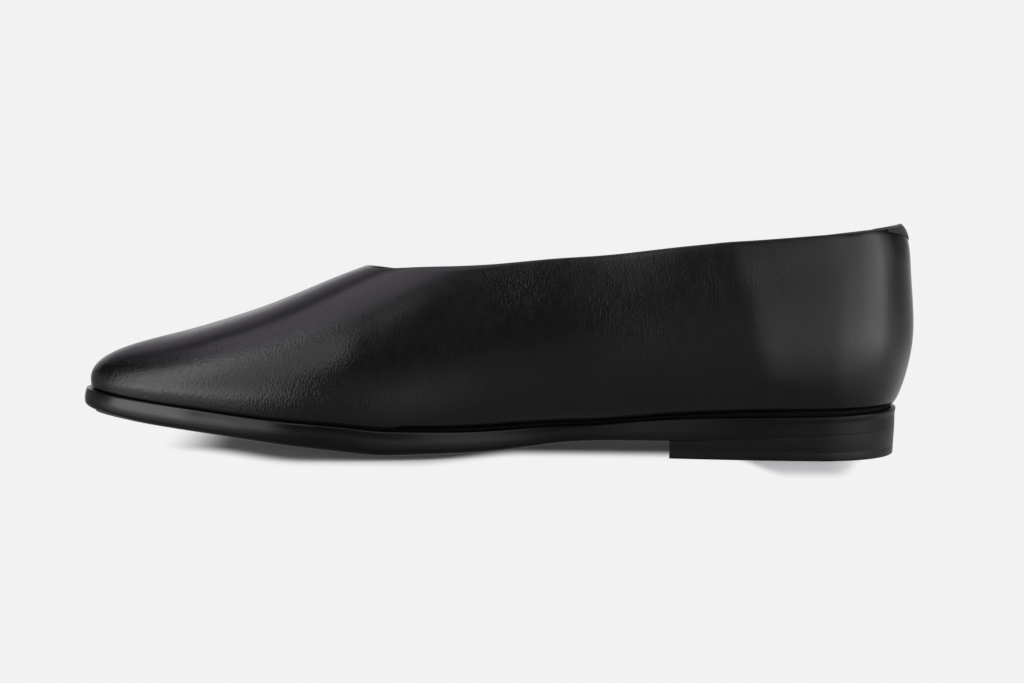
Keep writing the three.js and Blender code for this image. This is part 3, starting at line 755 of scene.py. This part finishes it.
buildMidsole()


# Place on the lining at a height over the feather line, for each rib of the upper
def liningAt(rise):
    station = stationAt(upperRing)
    height = featherHeight(station) + rise
    found = np.empty((len(upperRing), 2))
    for i, rib in enumerate(liningRibs):
        found[i, 0] = np.interp(height[i], rib[:, 2], rib[:, 0])
        found[i, 1] = np.interp(height[i], rib[:, 2], rib[:, 1])
    return found, height


# Sock: a soft plate that follows the lining, with a round edge and a slight dish under the foot
def buildSock():
    station = stationAt(upperRing)
    middle = spinePlan(station)
    rings = []
    thick = soleShape["sockThickness"]
    for rise, inset in ((thick, 1.6), (thick, 0.9), (thick - 0.25, 0.3), (thick - 0.8, 0.0), (0.5, 0.0), (0.0, 0.4)):
        place, height = liningAt(rise)
        inward = middle - place
        inward /= np.linalg.norm(inward, axis=1, keepdims=True)
        place = place + inward * (soleShape["sockClearance"] + inset)
        rings.append(np.concatenate([place, height[:, None]], 1))

    def dish(at, across, z):
        return z - soleShape["sockDish"] * np.sin(np.pi * across) ** 2 * ease(share(at, 0.02, 0.1)) * ease(share(1 - at, 0.02, 0.1))

    points, groups = plateMesh(rings, dish, keepHeight, 14)
    newPiece("sock", points, groups, [sockLeather], ["insole"])


buildSock()

# The heel

heelShape = {
    "length": 73.0,
    "breastSlant": 3.5,
    "taper": 0.4,
    "corner": 0.5,
    "topPiece": 2.6,  # rubber top piece on the floor
    "layers": 1,
    "groove": 0.02,
    "perSide": 90,
}


# Stacked heel: rings that follow the sole's outline, with a fine groove between the layers, and a
# breast that runs slanting from side to side
def buildHeel():
    inner = angleAt(heelShape["length"] / lastShape["length"])
    outer = angleAt((heelShape["length"] - heelShape["breastSlant"]) / lastShape["length"])
    steps = np.linspace(0, 1, heelShape["perSide"] + 1)
    ring = np.concatenate([-inner * steps[:0:-1], outer * steps])
    station = stationAt(ring)
    top = treadHeight(station) - 0.03
    reach = lastShape["extension"] * extensionShare(station)
    y0 = featherPlan(np.array([-inner]))[0, 1]
    y1 = featherPlan(np.array([outer]))[0, 1]
    piece = heelShape["topPiece"]
    levels = [(1.0, 0.0)]
    for layer in range(1, heelShape["layers"] + 1):
        at = 1 - layer / heelShape["layers"]
        levels += [(at + 0.035, 0.0), (at + 0.015, heelShape["groove"]), (at, 0.0)]
    rings = []

    def addRing(z, inset):
        narrow = heelShape["taper"] * (1 - z / np.maximum(top, 1e-6)) + inset
        edge = outline(ring, reach - narrow)
        breast = lastShape["heelBack"] - heelShape["length"] + heelShape["breastSlant"] * share(edge[:, 1], y0, y1)
        edge[0, 0] = breast[0]
        edge[-1, 0] = breast[-1]
        rings.append(np.concatenate([edge, z[:, None]], 1))

    for at, inset in levels:
        addRing(blend(piece, top, at), inset + 0 * station)
    split = len(rings) - 1
    addRing(0 * station + heelShape["corner"], 0 * station)
    for t in np.linspace(0, np.pi / 2, 5)[1:]:
        corner = heelShape["corner"]
        addRing(corner * (1 - np.sin(t)) + 0 * station, corner * (1 - np.cos(t)) + 0 * station)
    count = len(ring)
    points = np.concatenate(rings)
    ids = np.arange(len(rings) * count).reshape(len(rings), count)
    breastIds = np.stack([ids[:, -1], ids[:, 0]], 0)
    half = count // 2
    grids = [np.stack([ids[row, :half + 1], ids[row, ::-1][:half + 1]], 1) for row in (0, -1)]
    side = bandFaces(ids[:split + 1].T)
    lower = bandFaces(ids[split:].T)
    groups = [
        np.concatenate([side, lower, bandFaces(breastIds), bandFaces(grids[0])]),
        bandFaces(grids[1])[:, ::-1],
    ]
    newPiece("heel_stack", points, groups, [heelStack, treadSurface], ["heel"], 35.0)


buildHeel()

# The heel tab

tabShape = {
    "halfAngle": 0.31,
    "depth": 4.9,  # down from the topline at the back
    "sideDepth": 0.7,
    "insideDepth": 4.6,
    "thickness": 0.3,
    "clearance": 0.06,
    "columns": 60,
    "rows": 16,
}


# Path up the outside of the wall, over its edge and down its lining, at a distance from the leather
def tabSheet(lift):
    across = np.linspace(-1, 1, tabShape["columns"] + 1)
    distance = tabShape["clearance"] + lift * (1 - 0.75 * np.abs(across[:, None, None]) ** 3)
    angle = tabShape["halfAngle"] * across
    depth = blend(tabShape["depth"], tabShape["sideDepth"], np.abs(across))
    inside = blend(tabShape["insideDepth"], tabShape["sideDepth"], np.abs(across))
    rows = tabShape["rows"]
    down = np.linspace(1, 0, rows + 1)[None, :]
    height = lastShape["quarterHeight"]
    small = 0.004

    def skinFrame(climb):
        at = upperSurface(angle[:, None], climb)
        around = upperSurface(angle[:, None] + small, climb) - upperSurface(angle[:, None] - small, climb)
        upward = at - upperSurface(angle[:, None], climb - small)
        upward /= np.linalg.norm(upward, axis=-1, keepdims=True)
        out = np.cross(around, upward)
        return at, out / np.linalg.norm(out, axis=-1, keepdims=True), upward

    at, out, upward = skinFrame(1 - depth[:, None] * down / height)
    outside = at + out * distance
    edge, edgeOut, edgeUp = skinFrame(np.ones((len(angle), 1)))
    centre = edge - edgeOut * upperShape["wall"] / 2
    turn = np.linspace(0, np.pi, 13)[None, 1:-1, None]
    wide = upperShape["wall"] / 2 + distance
    tall = upperShape["edgeRise"] + distance
    over = centre + edgeOut * np.cos(turn) * wide + edgeUp * np.sin(turn) * tall
    at, out, upward = skinFrame(1 - inside[:, None] * down[:, ::-1] / height)
    return np.concatenate([outside, over, at - out * (upperShape["wall"] + distance)], 1)


tabLook = {**leatherLook, "color": (0.015, 0.015, 0.0155), "worn": (0.022, 0.022, 0.0215), "roughness": (0.44, 0.54),
           "grainSize": 2.4, "grainDepth": 0.09, "masked": False}
tabLeather = makeLeather("tabLeather", tabLook)


# Heel tab: two sheets a thickness apart, joined around their border by a rounded rim
def buildTab():
    near = tabSheet(0)
    far = tabSheet(tabShape["thickness"])
    shape = near.shape[:2]
    total = shape[0] * shape[1]
    nearIds = np.arange(total).reshape(shape)
    farIds = nearIds + total
    border = np.concatenate([
        [(i, 0) for i in range(shape[0])],
        [(shape[0] - 1, j) for j in range(1, shape[1])],
        [(i, shape[1] - 1) for i in range(shape[0] - 2, -1, -1)],
        [(0, j) for j in range(shape[1] - 2, 0, -1)],
    ])
    i, j = border[:, 0], border[:, 1]
    a, b = near[i, j], far[i, j]
    out = b - a
    along = np.roll(a, -1, 0) - np.roll(a, 1, 0)
    rim = np.cross(along, out)
    rim /= np.linalg.norm(rim, axis=1, keepdims=True)
    middle = near[shape[0] // 2, shape[1] // 2]
    rows = []
    for t in np.linspace(0, np.pi, 6)[1:-1]:
        rows.append((a + b) / 2 - np.cos(t) * out / 2 + np.sin(t) * rim * tabShape["thickness"] * 0.4)
    rows = np.stack(rows, 1)
    rowIds = np.arange(rows.shape[0] * rows.shape[1]).reshape(rows.shape[:2]) + 2 * total
    rimIds = np.concatenate([nearIds[i, j][:, None], rowIds, farIds[i, j][:, None]], 1)
    points = np.concatenate([near.reshape(-1, 3), far.reshape(-1, 3), rows.reshape(-1, 3)])
    quads = np.concatenate([bandFaces(farIds), bandFaces(nearIds)[:, ::-1], bandFaces(rimIds, True)])
    newPiece("heel_tab_leather", points, [quads], [tabLeather], ["heel_tab"])


buildTab()

# Studio: pale floor and surroundings, soft boxes on both sides and above, a dim room behind the camera

studio = {
    "floorColor": (0.72, 0.72, 0.72),
    "paleLevel": 0.888,  # floor away from the shoe and all that the camera sees behind it
    "footprint": (0.0075, 0.0925, 0.022),  # middle, half length and half width from which the lit floor fades
    "footprintAside": 0.02,  # how far it lies towards the outer side
    # painted light: share of the glowing pale ground mixed into the shade under the shoe
    "underGlow": 0.035,
    # the ball and heel zones widen where the floor stays lit paper with real shadow; their shapes are partly painted
    # shade
    "ballShade": (-0.043, 0.04, 0.026),  # place, half length and width of the shade along the ball
    "heelShade": (0.095, 0.018, 0.04),
    "floorFade": 0.024,
    "roomHigh": 0.01,  # dim room in front of the shoe, above and below the shoe's own height
    "roomLow": 0.2,
    "backFrom": (0.8, 0.98),  # the pale zone straight behind the shoe, and how much it widens upwards
    "backSpread": 0.35,
    "backHigh": 0.4,  # the ceiling behind the shoe
    "lowLeft": 1.1,  # glow on the floor under the soft boxes
    "lowRight": 0.75,
    "violet": (0.95, 0.88, 1.0),
}


# Floor: lit paper around the shoe that turns into an even, glowing pale ground further out. The glowing ground shows no
# shadow, so the zones where the paper stays lit set where shade shows, partly painted shade; a little glow kept under
# the shoe is painted light
def buildFloor():
    material, tree, shader = newMaterial("paperFloor")
    grain = noise(tree, millimetres(tree), 0.02, 2.0)
    color = mixColor(tree, grain, studio["floorColor"], tuple(0.99 * c for c in studio["floorColor"]))
    tree.links.new(color, shader.inputs["Base Color"])
    shader.inputs["Roughness"].default_value = 0.9
    shader.inputs["Specular IOR Level"].default_value = 0.0
    place = add(tree, "ShaderNodeTexCoord", {}).outputs["Object"]
    split = add(tree, "ShaderNodeSeparateXYZ", {"Vector": place})
    middle, halfLength, reach = studio["footprint"]
    beyond = compute(tree, "ABSOLUTE", compute(tree, "SUBTRACT", split.outputs["X"], middle))
    beyond = compute(tree, "MAXIMUM", compute(tree, "SUBTRACT", beyond, halfLength), 0)
    for at, halfLength, width in (studio["ballShade"], studio["heelShade"]):
        along = compute(tree, "ABSOLUTE", compute(tree, "SUBTRACT", split.outputs["X"], at))
        reach = compute(tree, "ADD", reach, between(tree, along, 0.4 * halfLength, 1.3 * halfLength, width, 0))
    outward = compute(tree, "ABSOLUTE", compute(tree, "SUBTRACT", split.outputs["Y"], studio["footprintAside"]))
    aside = compute(tree, "SUBTRACT", outward, reach)
    aside = compute(tree, "MAXIMUM", aside, 0)
    away = compute(tree, "SQRT", compute(tree, "ADD", compute(tree, "MULTIPLY", beyond, beyond),
                                         compute(tree, "MULTIPLY", aside, aside)))
    far = between(tree, away, 0, studio["floorFade"], studio["underGlow"], 1)
    glow = add(tree, "ShaderNodeEmission", {"Strength": studio["paleLevel"]})
    mixed = add(tree, "ShaderNodeMixShader", {0: far, 1: shader.outputs[0], 2: glow.outputs[0]})
    out = next(n for n in tree.nodes if n.type == "OUTPUT_MATERIAL")
    tree.links.new(mixed.outputs[0], out.inputs["Surface"])
    material.cycles.emission_sampling = "NONE"
    mesh = bpy.data.meshes.new("studioFloor")
    size = 40.0
    mesh.from_pydata([(-size, -size, 0), (size, -size, 0), (size, size, 0), (-size, size, 0)], [], [(0, 1, 2, 3)])
    mesh.materials.append(material)
    floor = bpy.data.objects.new("studioFloor", mesh)
    floor.visible_glossy = False
    bpy.context.scene.collection.objects.link(floor)


# Surroundings: pale behind the shoe and above; a dim room on the camera's side, which the leather mirrors,
# with a soft glow low on the left and on the right under the soft boxes
def buildWorld():
    world = bpy.data.worlds.new("studioWorld")
    bpy.context.scene.world = world
    world.use_nodes = True
    tree = world.node_tree
    sky = next(n for n in tree.nodes if n.type == "BACKGROUND")
    direction = add(tree, "ShaderNodeTexCoord", {}).outputs["Generated"]
    split = add(tree, "ShaderNodeSeparateXYZ", {"Vector": direction})
    x, y, z = (split.outputs[k] for k in "XYZ")
    room = between(tree, z, 0.12, 0.35, studio["roomLow"], studio["roomHigh"])
    leftLow = between(tree, x, -0.5, -0.2, studio["lowLeft"], 0)
    rightLow = between(tree, x, 0.37, 0.52, 0, studio["lowRight"])
    behind = compute(tree, "MULTIPLY", between(tree, y, 0.05, 0.3, 0, 0.65), between(tree, z, -0.26, -0.12, 0, 1))
    rightLow = compute(tree, "MULTIPLY", rightLow, compute(tree, "SUBTRACT", 1, behind))
    leftLow = compute(tree, "MULTIPLY", leftLow, between(tree, y, -0.1, 0.2, 1, 0))
    under = compute(tree, "MULTIPLY", compute(tree, "ADD", leftLow, rightLow), between(tree, z, -0.75, 0.0, 0.1, 1))
    under = compute(tree, "MULTIPLY", under, between(tree, z, -0.02, 0.03, 1, 0))
    room = compute(tree, "ADD", room, under)
    ceiling = between(tree, z, 0.2, 0.45, studio["paleLevel"], studio["backHigh"])
    spread = compute(tree, "MULTIPLY", compute(tree, "MAXIMUM", z, 0), studio["backSpread"])
    back = between(tree, compute(tree, "ADD", y, spread), *studio["backFrom"], 0, 1)
    level = add(tree, "ShaderNodeMix", {0: back, 2: room, 3: ceiling}, data_type="FLOAT").outputs[0]
    seen = add(tree, "ShaderNodeLightPath", {}).outputs["Is Camera Ray"]
    level = add(tree, "ShaderNodeMix", {0: seen, 2: level, 3: studio["paleLevel"]}, data_type="FLOAT").outputs[0]
    tree.links.new(level, sky.inputs["Strength"])
    tinted = mixColor(tree, between(tree, z, 0.15, 0.4, 0, 1), (1, 1, 1), studio["violet"])
    tinted = add(tree, "ShaderNodeMix", {0: seen, 6: tinted, 7: (1, 1, 1, 1)}, data_type="RGBA").outputs[2]
    tree.links.new(tinted, sky.inputs["Color"])
    world.cycles.sampling_method = "NONE"


# A flat soft box that stands upright around the shoe. Seen from a place along the shoe it spans a range of
# azimuths, from 0 on the camera's side and growing towards the heel. Level is how bright its face is
def softBox(name, seenFrom, azimuths, bottom, top, distance, level):
    a = np.radians(sum(azimuths) / 2)
    light = bpy.data.lights.new(name, "AREA")
    light.shape = "RECTANGLE"
    light.size = 2 * distance * np.tan(np.radians(azimuths[1] - azimuths[0]) / 2)
    light.size_y = top - bottom
    light.energy = level * np.pi * light.size * light.size_y
    holder = bpy.data.objects.new(name, light)
    holder.visible_camera = False
    towards = np.array([np.sin(a), -np.cos(a), 0.0])
    right = np.array([np.cos(a), np.sin(a), 0.0])
    place = np.array([seenFrom, 0, (bottom + top) / 2]) + distance * towards
    holder.matrix_world = placed(right, np.array([0, 0, 1.0]), towards, place)
    bpy.context.scene.collection.objects.link(holder)


# Top light: a soft box that lies flat over the shoe
def topLight(width, front, back, height, level):
    light = bpy.data.lights.new("topBox", "AREA")
    light.shape = "RECTANGLE"
    light.size = width
    light.size_y = back - front
    light.energy = level * np.pi * light.size * light.size_y
    light.color = studio["violet"]
    holder = bpy.data.objects.new("topBox", light)
    holder.visible_camera = False
    holder.location = (-0.03, (front + back) / 2, height)
    bpy.context.scene.collection.objects.link(holder)


def placed(right, upward, back, place):
    columns = [right, upward, back, place]
    return Matrix([[float(c[row]) for c in columns] for row in range(3)] + [[0, 0, 0, 1]])


softBoxes = {
    "leftBox": (-0.1, (-82, -40), -0.01, 0.84, 0.42, 2.6),
    "leftPanel": (-0.06, (-40, -8), -0.01, 0.78, 0.42, 1.25),
    "leftStrip": (-0.052, (-8, 8.5), 0.085, 0.27, 0.15, 1.05),
    "leftLowStrip": (-0.09, (-46, -18), 0.0, 0.07, 0.25, 0.5),
    "rightPanel": (0.1, (-1, 26), 0.0, 0.3, 0.2, 0.35),
    "rightPanelLow": (0.1, (4, 32), -0.05, 0.22, 0.2, 0.35),
    "rightPanelHigh": (0.1, (-12, 24), 0.12, 0.36, 0.2, 0.4),
    "rightBox": (0.1, (25, 78), -0.01, 0.34, 0.3, 0.65),
    "rightBoxLow": (0.1, (30, 78), -0.07, 0.28, 0.3, 0.5),
    "rightBoxMiddle": (0.1, (48, 80), -0.03, 0.3, 0.3, 0.65),
    "rightBoxTop": (0.1, (64, 93), 0.07, 0.5, 0.3, 0.7),
}
buildFloor()
buildWorld()
for name, values in softBoxes.items():
    softBox(name, *values)
topLight(1.3, -0.36, 0.55, 1.0, 1.15)

# Camera of the photograph: level with the shoe, a little above, from its inner side

view = {"distance": 900.0, "across": 4.2, "height": 124.0, "pitch": 5.7, "roll": -0.6, "lens": 99.1, "sensor": 36.0}


def buildCamera():
    data = bpy.data.cameras.new("camera")
    data.lens = view["lens"]
    data.sensor_width = view["sensor"]
    data.sensor_fit = "HORIZONTAL"
    data.clip_end = 100.0
    camera = bpy.data.objects.new("camera", data)
    pitch, roll = np.radians(view["pitch"]), np.radians(view["roll"])
    forward = np.array([0, np.cos(pitch), -np.sin(pitch)])
    flatRight = np.array([1.0, 0, 0])
    flatUp = np.cross(flatRight, forward)
    right = np.cos(roll) * flatRight - np.sin(roll) * flatUp
    upward = np.cos(roll) * flatUp + np.sin(roll) * flatRight
    place = np.array([view["across"], -view["distance"], view["height"]]) * mm
    camera.matrix_world = placed(right, upward, -forward, place)
    bpy.context.scene.collection.objects.link(camera)
    bpy.context.scene.camera = camera


buildCamera()
bpy.context.scene.view_settings.view_transform = "Standard"
print("studio ready")
